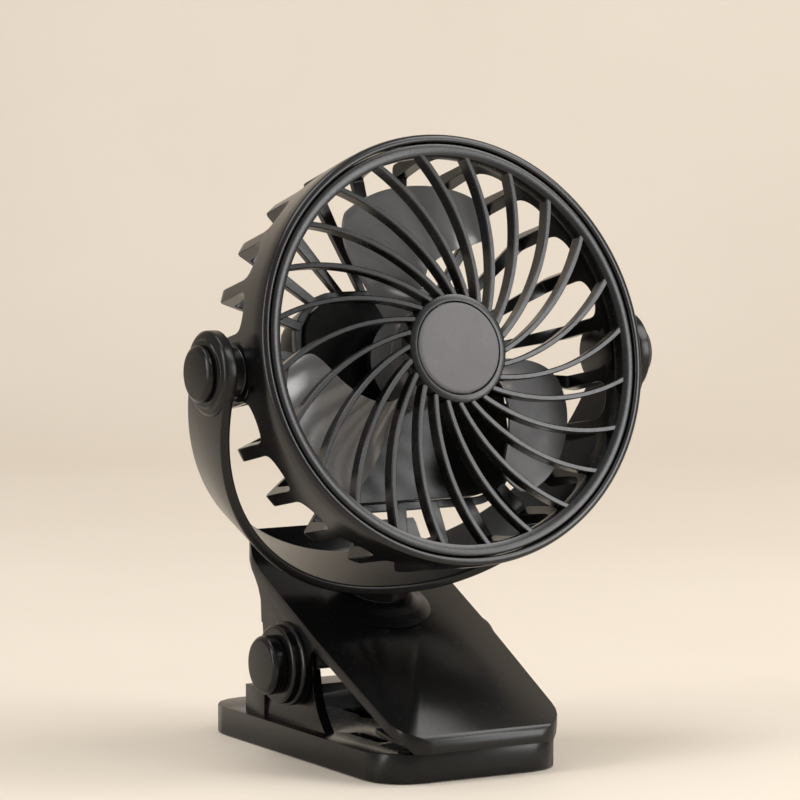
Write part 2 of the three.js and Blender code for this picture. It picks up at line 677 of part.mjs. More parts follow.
// one slot between two fins: it narrows towards the axis, ends round in front and is open behind
function slotCutter(angle) {
  const section = (reach, finWidth) => {
    const half = reach * Math.sin(Math.PI / FIN_COUNT) - finWidth / 2;
    const front = arcPoints(0, 0, 1, 0, Math.PI, 5).map((p) => [half * p.x, SLOT_FRONT - 4 + 4 * p.y]);
    const outline = [[half, BARREL_BACK - 8], ...front, [-half, BARREL_BACK - 8]];
    return outline.map(([side, z]) => new THREE.Vector3(side, reach, z));
  };
  return skin([section(90, FIN_WIDTH + 0.6), section(30, FIN_WIDTH / 2)]).rotateZ(angle - Math.PI / 2);
}

function rearCage() {
  const cutters = Array.from({ length: FIN_COUNT }, (_, i) => slotCutter((2 * Math.PI * i) / FIN_COUNT));
  const allSlots = cutters.map(toSolid).reduce((whole, next) => whole.add(next));
  const frame = toSolid(prism(podOutline(-3.2), BARREL_BACK - 10, BARREL_BACK + 10));
  const bossKeep = toSolid(join(axle(BOSS_RADIUS + 2, -100, -50, -HEAD_RISE, 0), axle(BOSS_RADIUS + 2, 50, 100, -HEAD_RISE, 0)));
  const shell = toSolid(barrelShell()).subtract(allSlots.subtract(frame).subtract(bossKeep));
  const podHole = toSolid(prism(podOutline(-GAP), BARREL_BACK - 10, BARREL_BACK + 10));
  const right = axle(BOSS_RADIUS, 71.6, BOSS_X, -HEAD_RISE, 0);
  const bosses = toSolid(right).add(toSolid(mirrored(right)));
  const pinHoles = toSolid(axle(TILT_PIN_RADIUS + GAP, -100, -60, -HEAD_RISE, 0, SMALL))
    .add(toSolid(axle(TILT_PIN_RADIUS + GAP, 60, 100, -HEAD_RISE, 0, SMALL)));
  return toGeometry(shell.subtract(podHole).add(bosses).subtract(pinHoles));
}

function tiltPin() {
  const head = ARM_OUT + GAP;
  return turned([[0, 70.5], [TILT_PIN_RADIUS, 70.5], [TILT_PIN_RADIUS, head], [TILT_HEAD_RADIUS, head],
    [TILT_HEAD_RADIUS, head + 1.5], [0, head + 1.5]], SMALL)
    .rotateY(Math.PI / 2);
}

function frictionWasher() {
  const ring = cut(cylinder(7.4, BOSS_X + GAP / 2, YOKE_HALF_WIDTH - GAP / 2), cylinder(TILT_PIN_RADIUS + GAP, 60, 90, SMALL));
  return ring.rotateY(Math.PI / 2);
}

// ---------------------------------------------------------------- head: front grille

function ribStrip(first) {
  const steps = 6;
  const rings = Array.from({ length: steps + 1 }, (_, i) => {
    const angle = THREE.MathUtils.lerp(RIB_ARC_HUB, RIB_ARC_RIM, i / steps);
    const face = THREE.MathUtils.lerp(HUB_FACE - 0.5, GRILLE_FACE - 0.3, i / steps);
    const at = (radius, z) => new THREE.Vector3(
      RIB_ARC_X + radius * Math.cos(angle), RIB_ARC_Y + radius * Math.sin(angle), z,
    );
    const half = RIB_WIDTH / 2;
    return [
      at(RIB_ARC_RADIUS - half, face), at(RIB_ARC_RADIUS + half, face),
      at(RIB_ARC_RADIUS + 0.7 * half, face - RIB_DEPTH), at(RIB_ARC_RADIUS - 0.7 * half, face - RIB_DEPTH),
    ];
  });
  return skin(rings).rotateZ(first);
}

function frontGrille() {
  const ring = turned([
    [GRILLE_RING_INNER, 17.4], [SEAM_RADIUS - GAP, 17.4], [SEAM_RADIUS - GAP, GRILLE_FACE + 0.2],
    [GRILLE_RING_INNER + 1.2, GRILLE_FACE], [GRILLE_RING_INNER, GRILLE_FACE - 1], [GRILLE_RING_INNER, 17.4]], FINE);
  const hub = turned([
    [HUB_INNER, 21.6], [HUB_INNER, HUB_FACE], [HUB_RADIUS - 0.8, HUB_FACE], [HUB_RADIUS, HUB_FACE - 0.9],
    [HUB_RADIUS, 18.6], [6, 18.6], [6, 21.6], [HUB_INNER, 21.6]], 36);
  const ribs = Array.from({ length: RIB_COUNT }, (_, i) => ribStrip(RIB_FIRST + (i * 2 * Math.PI) / RIB_COUNT));
  return join(ring, hub, ...ribs);
}

function hubDisc() {
  const radius = HUB_INNER - GAP;
  return turned([[0, 21.6 + GAP], [radius, 21.6 + GAP], [radius, HUB_DISC_FACE - 0.5], [radius - 0.5, HUB_DISC_FACE],
    [0, HUB_DISC_FACE]], 48);
}

// ---------------------------------------------------------------- impeller

// one paddle blade, a thin twisted sheet: its leading edge sweeps forward, its outer corners are round
function blade() {
  const spanSteps = 6;
  const chordSteps = 6;
  const root = IMPELLER_HUB_RADIUS - 1.5;
  const point = (i, j, offset) => {
    const out = i / spanSteps;
    const across = (j / chordSteps) * 2 - 1;
    const radius = root + (BLADE_RADIUS - root) * out * (1 - 0.07 * Math.abs(across) ** 3 * out);
    const trailing = BLADE_TRAILING - (2 * out ** 2 + 7 * out ** 6) * DEG;
    const leading = BLADE_LEADING - (44 * THREE.MathUtils.smoothstep(out, 0.1, 0.8) - 5 * out ** 8) * DEG;
    const angle = THREE.MathUtils.lerp(leading, trailing, (across + 1) / 2);
    const depth = -across * BLADE_PITCH_DEPTH * (0.95 - 0.15 * out) + 1.5 * (1 - across * across);
    return new THREE.Vector3(radius * Math.cos(angle), radius * Math.sin(angle), 1.2 + depth + offset);
  };
  const rings = Array.from({ length: spanSteps + 1 }, (_, i) => {
    const front = Array.from({ length: chordSteps + 1 }, (_, j) => point(i, j, BLADE_THICKNESS / 2));
    const back = Array.from({ length: chordSteps + 1 }, (_, j) => point(i, chordSteps - j, -BLADE_THICKNESS / 2));
    return [...front, ...back];
  });
  return closedLoft(rings, chordSteps);
}

// like skin, but its end faces are strips, because the section is long and curved
function closedLoft(rings, chordSteps) {
  const sides = rings[0].length;
  const positions = rings.flat().flatMap((p) => [p.x, p.y, p.z]);
  const index = [];
  for (let i = 0; i < rings.length - 1; i += 1) {
    for (let k = 0; k < sides; k += 1) {
      const a = i * sides + k;
      const b = i * sides + ((k + 1) % sides);
      index.push(a, a + sides, b, b, a + sides, b + sides);
    }
  }
  const last = (rings.length - 1) * sides;
  for (let j = 0; j < chordSteps; j += 1) {
    const mate = sides - 1 - j;
    index.push(j, j + 1, mate, j + 1, mate - 1, mate);
    index.push(last + j, last + mate, last + j + 1, last + j + 1, last + mate, last + mate - 1);
  }
  const geometry = new THREE.BufferGeometry();
  geometry.setAttribute('position', new THREE.Float32BufferAttribute(positions, 3));
  geometry.setIndex(index);
  return geometry;
}

function impeller() {
  const front = IMPELLER_FRONT;
  const hub = turned([[0, front], [IMPELLER_HUB_RADIUS - 4, front - 0.4], [IMPELLER_HUB_RADIUS, front - 3.5],
    [IMPELLER_HUB_RADIUS, IMPELLER_BACK], [IMPELLER_HUB_RADIUS - 2, IMPELLER_BACK],
    [IMPELLER_HUB_RADIUS - 2, front - 6], [0, front - 6]], 32);
  const socket = cylinder(3.4, -2, front - 5, SMALL);
  const blades = Array.from({ length: BLADE_COUNT }, (_, i) => blade().rotateZ((i * 2 * Math.PI) / BLADE_COUNT));
  return cut(join(hub, socket, ...blades), cylinder(SHAFT_RADIUS + GAP, -10, front - 5.5, SMALL));
}

// ---------------------------------------------------------------- pod

const SHAFT_RADIUS = 1.5;
const MOTOR_RADIUS = 12;
const CELL_RADIUS = 9;
const CELL_LENGTH = 65;
const CELL_Y = -28.5;
const BUTTON_RADIUS = 5.5;
const BUTTON_Y = 14;
const BUTTON_TRAVEL = 1.2;
const SOCKET_X = 15;
const LENS_X = -15;

function podFront() {
  const shell = cut(
    prism(podOutline(0), POD_SPLIT + GAP / 2, POD_FRONT),
    prism(podOutline(POD_WALL), POD_SPLIT - 1, POD_FRONT - POD_WALL),
  );
  const neck = turned([[0, POD_FRONT - 0.5], [14, POD_FRONT - 0.5], [14, IMPELLER_BACK - 3], [0, IMPELLER_BACK - 3]], 28);
  const motorRoom = cylinder(MOTOR_RADIUS + GAP, POD_SPLIT - 1, IMPELLER_BACK - 5);
  const bushRoom = cylinder(3.6 + GAP, -30, 0, SMALL);
  const posts = podScrewSpots().map(([x, y]) => cylinder(3.2, POD_SPLIT + GAP, POD_FRONT - 1, SMALL).translate(x, y, 0));
  const pilots = podScrewSpots().map(([x, y]) => cylinder(1.4, POD_SPLIT - 1, POD_FRONT - 3, SMALL).translate(x, y, 0));
  return cut(join(shell, neck, ...posts), motorRoom, bushRoom, ...pilots);
}

function podScrewSpots() {
  const x = POD_HALF_WIDTH - 7.5;
  return [[-x, POD_TOP - 7.5], [x, POD_TOP - 7.5], [-x, -13], [x, -13]];
}

function podBack() {
  const shell = cut(
    prism(podOutline(0), POD_BACK, POD_SPLIT - GAP / 2),
    prism(podOutline(POD_WALL), POD_BACK + POD_WALL, POD_SPLIT + 1),
  );
  const bevel = cut(prism(podOutline(-4), POD_BACK - 4, POD_BACK + 3), podBevelTool());
  const buttonHole = cylinder(BUTTON_RADIUS + 1.6, POD_BACK - 2, POD_BACK + 4).translate(0, BUTTON_Y, 0);
  const lensHole = cylinder(1.5 + GAP, POD_BACK - 2, POD_BACK + 4, SMALL).translate(LENS_X, BUTTON_Y, 0);
  const socketHole = box(SOCKET_X - 5, SOCKET_X + 5, BUTTON_Y - 2.2, BUTTON_Y + 2.2, POD_BACK - 2, POD_BACK + 4);
  const holes = podScrewSpots().map(([x, y]) => cylinder(1.7, POD_BACK - 1, POD_SPLIT, SMALL).translate(x, y, 0));
  const sinks = podScrewSpots().map(([x, y]) => cylinder(3.1, POD_BACK - 1, POD_BACK + 1.6, SMALL).translate(x, y, 0));
  const posts = podScrewSpots().map(([x, y]) => cylinder(3.8, POD_BACK + 1, POD_SPLIT - GAP, SMALL).translate(x, y, 0));
  return cut(join(cut(shell, bevel), ...posts), buttonHole, lensHole, socketHole, ...holes, ...sinks);
}

// what is kept inside the bevelled rear edge
function podBevelTool() {
  const low = podOutline(2.6).map((p) => new THREE.Vector3(p.x, p.y, POD_BACK - 4.6));
  const mid = podOutline(2.6).map((p) => new THREE.Vector3(p.x, p.y, POD_BACK));
  const high = podOutline(-0.4).map((p) => new THREE.Vector3(p.x, p.y, POD_BACK + 3.5));
  return skin([low, mid, high]);
}

function podScrew() {
  const seat = POD_BACK + 1.6 - GAP;
  return turned([[0, POD_BACK + 0.2], [2.7, POD_BACK + 0.2], [2.7, seat], [1.2, seat], [1.2, POD_FRONT - 4.5], [0, POD_FRONT - 4.5]], SMALL);
}

function motorCan() {
  const can = turned([[0, POD_SPLIT - 6], [MOTOR_RADIUS - 0.8, POD_SPLIT - 6], [MOTOR_RADIUS, POD_SPLIT - 5], [MOTOR_RADIUS, IMPELLER_BACK - 6],
    [MOTOR_RADIUS - 0.8, IMPELLER_BACK - 5.4], [0, IMPELLER_BACK - 5.4]]);
  return cut(can, cylinder(SHAFT_RADIUS + GAP, POD_SPLIT - 2, 10, SMALL));
}

function motorBush() {
  return cut(cylinder(3.6, -12, -8, SMALL), cylinder(SHAFT_RADIUS + GAP, -20, 0, SMALL));
}

function cell() {
  const half = CELL_LENGTH / 2;
  return turned([[0, -half], [CELL_RADIUS, -half], [CELL_RADIUS, half - 1], [3, half - 1], [3, half], [0, half]], 20)
    .rotateY(Math.PI / 2)
    .translate(0, CELL_Y, (POD_FRONT + POD_BACK) / 2);
}

function circuitBoard() {
  return box(-24, 24, MOTOR_RADIUS + 0.8, POD_TOP - POD_WALL - 1, POD_BACK + 6.4, POD_BACK + 8);
}

function chargingSocket() {
  const half = 4.6;
  const outer = prism(roundedRect(SOCKET_X - half, SOCKET_X + half, BUTTON_Y - 1.8, BUTTON_Y + 1.8, 1.7, 3), POD_BACK + 0.4, POD_BACK + 6.1);
  const mouth = prism(roundedRect(SOCKET_X - half + 0.5, SOCKET_X + half - 0.5, BUTTON_Y - 1.3, BUTTON_Y + 1.3, 1.2, 3), POD_BACK, POD_BACK + 5);
  return cut(outer, mouth);
}

function indicatorLens() {
  return cylinder(1.5, POD_BACK + 0.1, POD_BACK + 5, SMALL).translate(LENS_X, BUTTON_Y, 0);
}

function buttonBezel() {
  const outer = turned([[0, POD_BACK - 0.8], [BUTTON_RADIUS + 1.3, POD_BACK - 0.8], [BUTTON_RADIUS + 1.3, POD_BACK + 2],
    [0, POD_BACK + 2]]);
  return cut(outer, cylinder(BUTTON_RADIUS + GAP, POD_BACK - 2, POD_BACK + 3)).translate(0, BUTTON_Y, 0);
}

function powerButton() {
  return turned([[0, POD_BACK - 2.2], [BUTTON_RADIUS - 1, POD_BACK - 1.9], [BUTTON_RADIUS, POD_BACK - 1], [BUTTON_RADIUS, POD_BACK + 2.4],
    [2, POD_BACK + 2.4], [2, POD_BACK + 6.1 - BUTTON_TRAVEL], [0, POD_BACK + 6.1 - BUTTON_TRAVEL]], 20).translate(0, BUTTON_Y, 0);
}

// ---------------------------------------------------------------- assembly

const fan = new THREE.Group();

addPart(fan, 'base_shell', baseShell(), BLACK);
addPart(fan, 'base_cover', baseCover(), BLACK);
addPart(fan, 'rubber_sole', rubberSole(), RUBBER);
screwSpots().forEach(([x, y], i) => addPart(fan, `base_screw_${i + 1}`, coverScrew().translate(x, y, 0), STEEL));
addPart(fan, 'lower_grip_pad', lowerGripPad(), RUBBER);
addPart(fan, 'clip_pin', clipPin(), STEEL);
addPart(fan, 'clip_spring', clipSpring(), STEEL);
addPair(fan, 'clip_pin_cap', clipPinCap(), BLACK);
addPart(fan, 'upper_jaw', upperJaw(), BLACK);
addPart(fan, 'jaw_liner', jawLiner(), BLACK);
addPart(fan, 'upper_grip_pad', upperGripPad(), RUBBER);

const swivel = new THREE.Group();
swivel.position.set(0, SWIVEL_Y, SWIVEL_Z);
swivel.rotation.x = LEAN;
fan.add(swivel);
addPart(swivel, 'swivel_washer', swivelWasher(), RUBBER);
addPart(swivel, 'spring_washer', springWasher(), STEEL);
addPart(swivel, 'swivel_screw', swivelScrew(), STEEL);
addPart(swivel, 'yoke_bracket', yokeBracket(), BLACK);
addPair(swivel, 'yoke_cap', yokeCap(), BLACK);

const tilt = new THREE.Group();
tilt.position.set(0, 0, TILT_HEIGHT);
tilt.rotation.x = Math.PI / 2 - HEAD_TILT - LEAN;
swivel.add(tilt);
addPair(tilt, 'tilt_pin', tiltPin(), STEEL);
addPair(tilt, 'friction_washer', frictionWasher(), RUBBER);

const head = new THREE.Group();
head.position.set(0, HEAD_RISE, 0);
tilt.add(head);
addPart(head, 'rear_cage', rearCage(), BARREL_BLACK);
addPart(head, 'front_grille', frontGrille(), BARREL_BLACK);
addPart(head, 'hub_disc', hubDisc(), GREY);
addPart(head, 'impeller', impeller(), BLADE_GREY);
addPart(head, 'motor_shaft', cylinder(SHAFT_RADIUS, POD_SPLIT - 1.5, IMPELLER_FRONT - 6, SMALL), STEEL);
addPart(head, 'motor_bush', motorBush(), STEEL);
addPart(head, 'motor_can', motorCan(), STEEL);
addPart(head, 'pod_front', podFront(), BLACK);
addPart(head, 'pod_back', podBack(), BLACK);
podScrewSpots().forEach(([x, y], i) => addPart(head, `pod_screw_${i + 1}`, podScrew().translate(x, y, 0), STEEL));
addPart(head, 'battery_cell', cell(), CELL);
addPart(head, 'circuit_board', circuitBoard(), BOARD);
addPart(head, 'charging_socket', chargingSocket(), STEEL);
addPart(head, 'indicator_lens', indicatorLens(), LENS);
addPart(head, 'button_bezel', buttonBezel(), BLACK);
addPart(head, 'power_button', powerButton(), GREY);

export default fan;
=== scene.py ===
import math

import bmesh
import bpy
from mathutils import Matrix, Vector


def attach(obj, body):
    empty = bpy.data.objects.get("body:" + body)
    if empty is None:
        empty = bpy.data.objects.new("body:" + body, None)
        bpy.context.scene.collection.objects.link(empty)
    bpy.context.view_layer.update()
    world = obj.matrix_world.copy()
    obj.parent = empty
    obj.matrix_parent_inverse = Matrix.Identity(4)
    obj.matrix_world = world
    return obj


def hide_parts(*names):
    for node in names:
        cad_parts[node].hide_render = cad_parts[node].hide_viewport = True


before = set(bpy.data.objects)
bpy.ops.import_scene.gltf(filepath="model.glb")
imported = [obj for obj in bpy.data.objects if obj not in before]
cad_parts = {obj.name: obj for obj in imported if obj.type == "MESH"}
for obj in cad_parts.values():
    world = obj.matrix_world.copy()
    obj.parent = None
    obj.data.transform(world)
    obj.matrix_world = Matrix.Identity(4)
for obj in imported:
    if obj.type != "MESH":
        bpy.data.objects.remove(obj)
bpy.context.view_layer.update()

MM = 0.001
TAU = 2 * math.pi

# ---------------------------------------------------------------- named sizes, as in the CAD (mm, degrees)

LEAN = math.radians(22)
HEAD_TILT = math.radians(13.7)
SWIVEL_FOOT = (0, 6, 52.9)
TILT_HEIGHT = 92
HEAD_RISE = 1
PIVOT_Y = 6
PIVOT_Z = 32

YOKE = Matrix.Translation(Vector(SWIVEL_FOOT)) @ Matrix.Rotation(LEAN, 4, "X")
TILT_TURN = Matrix.Rotation(math.pi / 2 - HEAD_TILT - LEAN, 4, "X")
TILT = YOKE @ Matrix.Translation((0, 0, TILT_HEIGHT)) @ TILT_TURN
HEAD = TILT @ Matrix.Translation((0, HEAD_RISE, 0))
ALONG_X = Matrix.Rotation(math.pi / 2, 4, "Y")
CLIP_AXLE = Matrix.Translation((0, PIVOT_Y, PIVOT_Z)) @ ALONG_X
YOKE_AXLE = YOKE @ Matrix.Translation((0, 0, TILT_HEIGHT)) @ ALONG_X
FLIP_X = Matrix.Scale(-1, 4, (1, 0, 0))

# ---------------------------------------------------------------- camera, at the photograph's viewing angle

PHOTO_FOCAL_PX = 4284
PHOTO_SIDE_PX = 800
SENSOR_WIDTH = 36
CAMERA_AT = (-0.738, -1.2891, 0.2713)
CAMERA_YAW = math.radians(30.03)
CAMERA_PITCH = math.radians(5.71)

camera_data = bpy.data.cameras.new("camera")
camera_data.sensor_width = SENSOR_WIDTH
camera_data.lens = SENSOR_WIDTH * PHOTO_FOCAL_PX / PHOTO_SIDE_PX
camera_data.clip_start = 0.05
camera_data.clip_end = 50
camera = bpy.data.objects.new("camera", camera_data)
camera.location = CAMERA_AT
camera.rotation_euler = (math.pi / 2 - CAMERA_PITCH, 0, -CAMERA_YAW)
bpy.context.scene.collection.objects.link(camera)
bpy.context.scene.camera = camera
bpy.context.scene.view_settings.view_transform = "Standard"


# ---------------------------------------------------------------- materials

def node_tree(name):
    material = bpy.data.materials.new(name)
    material.use_nodes = True
    tree = material.node_tree
    return material, tree.nodes, tree.links, tree.nodes["Principled BSDF"]


def noise(nodes, links, coordinates, scale, detail, roughness=0.5):
    texture = nodes.new("ShaderNodeTexNoise")
    texture.inputs["Scale"].default_value = scale
    texture.inputs["Detail"].default_value = detail
    texture.inputs["Roughness"].default_value = roughness
    links.new(coordinates.outputs["Object"], texture.inputs["Vector"])
    return texture.outputs["Fac"]


def ramp(nodes, links, value, low, high, positions=(0.3, 0.7)):
    """Maps a noise value to the range low..high, as colours or as grey values."""
    node = nodes.new("ShaderNodeValToRGB")
    for element, position, colour in zip(node.color_ramp.elements, positions, (low, high)):
        element.position = position
        element.color = (*colour, 1) if isinstance(colour, tuple) else (colour, colour, colour, 1)
    links.new(value, node.inputs["Fac"])
    return node.outputs["Color"]


def bump(nodes, links, shader, height, strength, distance):
    node = nodes.new("ShaderNodeBump")
    node.inputs["Strength"].default_value = strength
    node.inputs["Distance"].default_value = distance
    links.new(height, node.inputs["Height"])
    links.new(node.outputs["Normal"], shader.inputs["Normal"])


def scaled(colour, factor):
    return tuple(min(1.0, c * factor) for c in colour)


def moulded(name, colour, gloss=(0.3, 0.42), grain=0.05, grain_scale=2600, specular=0.5, coat=0.0):
    """Moulded plastic: slight tone drift, uneven gloss, faint scuffs and a fine spark-eroded grain."""
    material, nodes, links, shader = node_tree(name)
    where = nodes.new("ShaderNodeTexCoord")
    drift = noise(nodes, links, where, 28, 4)
    scuffs = noise(nodes, links, where, 420, 6, 0.7)
    mixed = nodes.new("ShaderNodeMix")
    mixed.data_type = "RGBA"
    mixed.blend_type = "MULTIPLY"
    mixed.inputs["Factor"].default_value = 1.0
    links.new(ramp(nodes, links, drift, scaled(colour, 0.86), scaled(colour, 1.12)), mixed.inputs["A"])
    links.new(ramp(nodes, links, scuffs, 0.92, 1.0, (0.35, 0.6)), mixed.inputs["B"])
    links.new(mixed.outputs["Result"], shader.inputs["Base Color"])
    links.new(ramp(nodes, links, scuffs, gloss[0], gloss[1], (0.3, 0.75)), shader.inputs["Roughness"])
    bump(nodes, links, shader, noise(nodes, links, where, grain_scale, 2), grain, 0.0001)
    shader.inputs["Specular IOR Level"].default_value = specular
    shader.inputs["Coat Weight"].default_value = coat
    shader.inputs["Coat Roughness"].default_value = 0.12
    return material


def brushed(name, colour, gloss=(0.22, 0.4)):
    """Plated steel with fine turning marks."""
    material, nodes, links, shader = node_tree(name)
    where = nodes.new("ShaderNodeTexCoord")
    marks = noise(nodes, links, where, 1800, 3, 0.6)
    tone = noise(nodes, links, where, 60, 3)
    tone = ramp(nodes, links, tone, scaled(colour, 0.85), scaled(colour, 1.08))
    links.new(tone, shader.inputs["Base Color"])
    links.new(ramp(nodes, links, marks, gloss[0], gloss[1]), shader.inputs["Roughness"])
    bump(nodes, links, shader, marks, 0.08, 0.0001)
    shader.inputs["Metallic"].default_value = 1.0
    return material


def ribbed_rubber(name, colour, rib_scale):
    """Soft rubber with fine moulded ribs and dust in them."""
    material, nodes, links, shader = node_tree(name)
    where = nodes.new("ShaderNodeTexCoord")
    wave = nodes.new("ShaderNodeTexWave")
    wave.bands_direction = "Y"
    wave.inputs["Scale"].default_value = rib_scale
    wave.inputs["Distortion"].default_value = 0.0
    links.new(where.outputs["Object"], wave.inputs["Vector"])
    dust = noise(nodes, links, where, 160, 5, 0.6)
    tone = ramp(nodes, links, dust, scaled(colour, 0.85), scaled(colour, 1.7), (0.35, 0.8))
    links.new(tone, shader.inputs["Base Color"])
    links.new(ramp(nodes, links, dust, 0.7, 0.9), shader.inputs["Roughness"])
    bump(nodes, links, shader, wave.outputs["Fac"], 0.35, 0.0004)
    return material


BLACK = moulded("black_plastic", (0.0038, 0.0037, 0.0039), (0.22, 0.29), grain=0.02, specular=0.3)
BARREL = moulded("barrel_plastic", (0.005, 0.005, 0.0054), (0.2, 0.27), grain=0.02, specular=0.42)
GRILLE = moulded("grille_plastic", (0.006, 0.006, 0.0066), (0.22, 0.3), grain=0.02, specular=0.42)
BLADE = moulded("blade_plastic", (0.165, 0.165, 0.17), (0.2, 0.26), grain=0.015, specular=0.7, coat=0.25)
DISC = moulded("disc_plastic", (0.14, 0.138, 0.145), (0.45, 0.55), grain=0.09, grain_scale=1900,
               specular=0.25)
RUBBER = ribbed_rubber("rubber", (0.012, 0.012, 0.012), 160)
STEEL = brushed("steel", (0.62, 0.62, 0.63))
DARK_STEEL = brushed("dark_steel", (0.2, 0.2, 0.205), (0.3, 0.45))
BRASS = brushed("brass", (0.72, 0.52, 0.2))
CELL_WRAP = moulded("cell_wrap", (0.03, 0.1, 0.25), (0.2, 0.3), coat=0.4)
BOARD = moulded("board", (0.02, 0.12, 0.05), (0.3, 0.45))
LENS = moulded("lens", (0.5, 0.68, 0.85), (0.08, 0.14), grain=0.01, coat=0.5)


# ---------------------------------------------------------------- mesh helpers

BEVEL_SEGMENTS = 3
CORNER_STEPS = 3


def new_object(name, verts, faces, matrix=Matrix.Identity(4), mirrored=False):
    """A mesh object from points in mm, which matrix takes into the row frame."""
    mesh = bpy.data.meshes.new(name)
    mesh.from_pydata([tuple((matrix @ Vector(v)) * MM) for v in verts], [], faces)
    mesh.validate()
    if mirrored:
        mesh.flip_normals()
    piece = bpy.data.objects.new(name, mesh)
    bpy.context.scene.collection.objects.link(piece)
    return piece


def finish_piece(piece, material, body, replaced=(), bevel=0.0, bevel_angle=40, smooth_angle=35):
    """Shading, edge rounding, material, body and the CAD nodes that the piece stands for."""
    mesh = piece.data
    mesh.shade_smooth()
    if bevel:
        modifier = piece.modifiers.new("edges", "BEVEL")
        modifier.width = bevel * MM
        modifier.segments = BEVEL_SEGMENTS
        modifier.limit_method = "ANGLE"
        modifier.angle_limit = math.radians(bevel_angle)
        modifier.harden_normals = True
        modifier.use_clamp_overlap = True
    else:
        mesh.set_sharp_from_angle(angle=math.radians(smooth_angle))
    mesh.materials.clear()
    mesh.materials.append(material)
    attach(piece, body)
    if replaced:
        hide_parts(*replaced)
    return piece


def lathe(profile, segments=96):
    """Verts and faces of a profile of (radius, height) points turned about Z. Ends on the axis close it."""
    if sum(a[0] * b[1] - b[0] * a[1] for a, b in zip(profile, profile[1:] + profile[:1])) < 0:
        profile = profile[::-1]
    on_axis = profile[0][0] == 0 and profile[-1][0] == 0
    ring = profile[1:-1] if on_axis else profile
    count = len(ring)
    verts = []
    for step in range(segments):
        angle = TAU * step / segments
        verts += [(r * math.cos(angle), r * math.sin(angle), z) for r, z in ring]
    faces = []
    for step in range(segments):
        a = step * count
        b = ((step + 1) % segments) * count
        spans = range(count - 1) if on_axis else range(count)
        faces += [(a + k, b + k, b + (k + 1) % count, a + (k + 1) % count) for k in spans]
    if on_axis:
        low, high = len(verts), len(verts) + 1
        verts += [(0, 0, profile[0][1]), (0, 0, profile[-1][1])]
        for step in range(segments):
            a = step * count
            b = ((step + 1) % segments) * count
            faces += [(low, b, a), (high, a + count - 1, b + count - 1)]
    return verts, faces


def soft(profile, radius=0.4):
    """Rounds the corners of a closed profile with short arcs, apart from those on the axis."""
    result = []
    count = len(profile)
    for i, point in enumerate(profile):
        before, after = Vector(profile[i - 1]), Vector(profile[(i + 1) % count])
        here = Vector(point)
        to_before, to_after = before - here, after - here
        if point[0] == 0 or to_before.length < 1e-6 or to_after.length < 1e-6:
            result.append(point)
            continue
        reach = min(radius, to_before.length * 0.45, to_after.length * 0.45)
        start = here + to_before.normalized() * reach
        end = here + to_after.normalized() * reach
        for k in range(CORNER_STEPS + 1):
            t = k / CORNER_STEPS
            bent = start * (1 - t) ** 2 + here * 2 * t * (1 - t) + end * t ** 2
            result.append((bent.x, bent.y))
    return result


def skin(rings, caps=True):
    """Verts and faces of a tube through rings of equal length."""
    size = len(rings[0])
    verts = [point for ring in rings for point in ring]
    faces = []
    for i in range(len(rings) - 1):
        for k in range(size):
            a, b = i * size + k, i * size + (k + 1) % size
            faces.append((a, b, b + size, a + size))
    if caps:
        faces.append(tuple(range(size))[::-1])
        faces.append(tuple(range((len(rings) - 1) * size, len(rings) * size)))
    return verts, faces


def together(*parts):
    """Several (verts, faces) as one."""
    verts, faces = [], []
    for part_verts, part_faces in parts:
        start = len(verts)
        verts += part_verts
        faces += [tuple(i + start for i in face) for face in part_faces]
    return verts, faces


def moved(part, matrix, flip=False):
    verts, faces = part
    return [tuple(matrix @ Vector(v)) for v in verts], [face[::-1] for face in faces] if flip else faces


def both_sides(part):
    """The part and its mirror image in X."""
    return together(part, moved(part, FLIP_X, flip=True))


def dressed(node, name, material, body, bevel, bevel_angle=35):
    """A copy of a CAD node with its flat faces joined up and its edges rounded."""
    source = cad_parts[node]
    mesh = source.data.copy()
    mesh.name = name
    work = bmesh.new()
    work.from_mesh(mesh)
    bmesh.ops.remove_doubles(work, verts=work.verts, dist=2e-6)
    bmesh.ops.dissolve_limit(work, angle_limit=math.radians(0.6), verts=work.verts, edges=work.edges)
    work.to_mesh(mesh)
    work.free()
    piece = bpy.data.objects.new(name, mesh)
    bpy.context.scene.collection.objects.link(piece)
    return finish_piece(piece, material, body, (node,), bevel, bevel_angle)


# ---------------------------------------------------------------- head: barrel with slots and fins

FIN_COUNT = 24
SLOT_FRONT = 6
FIN_START = 2
POD_HALF_WIDTH = 37
POD_TOP = 24
POD_BOTTOM = -46.5
POD_CORNER = 14
POD_CORNER_STEPS = 8
POD_RIM = 1.6
FIN_NARROW = 2.6
FIN_WIDE = 5.8
FIN_NARROW_RADIUS = 30
FIN_WIDENING_LENGTH = 60
SLOT_RADIUS = 72.7
SLOT_EDGE_OUTER = 73
SLOT_EDGE_INNER = 70
SLOT_TAPER_OUTER = 0.068
SLOT_TAPER_INNER = 0.165
# outer and inner side of the barrel wall, from the rim's inner lip round to the rear face
WALL_ROWS = [
    ((71.15, 16.4), (70.95, 14.2)), ((71.15, 22.9), (70.9, 13.6)), ((71.5, 23.5), (70.85, 13)),
    ((72.9, 23.6), (70.8, 12.4)), ((73.65, 23.1), (70.75, 11.8)), ((74.0, 21.8), (70.7, 11.2)),
    ((73.75, 16), (70.6, 10.4)), ((73.5, 12), (70.4, 9.5)), ((73.25, 8.5), (70.2, 8)),
]
FIN_ROWS = [
    ((72.4, -3), (68.5, -3)), ((72.05, -8), (67.7, -8)), ((71.75, -12.6), (66.95, -12.6)),
    ((71.6, -15.2), (66.5, -14.4)), ((71.35, -16.4), (66.2, -14.6)), ((70.4, -17), (65.6, -14.7)),
]
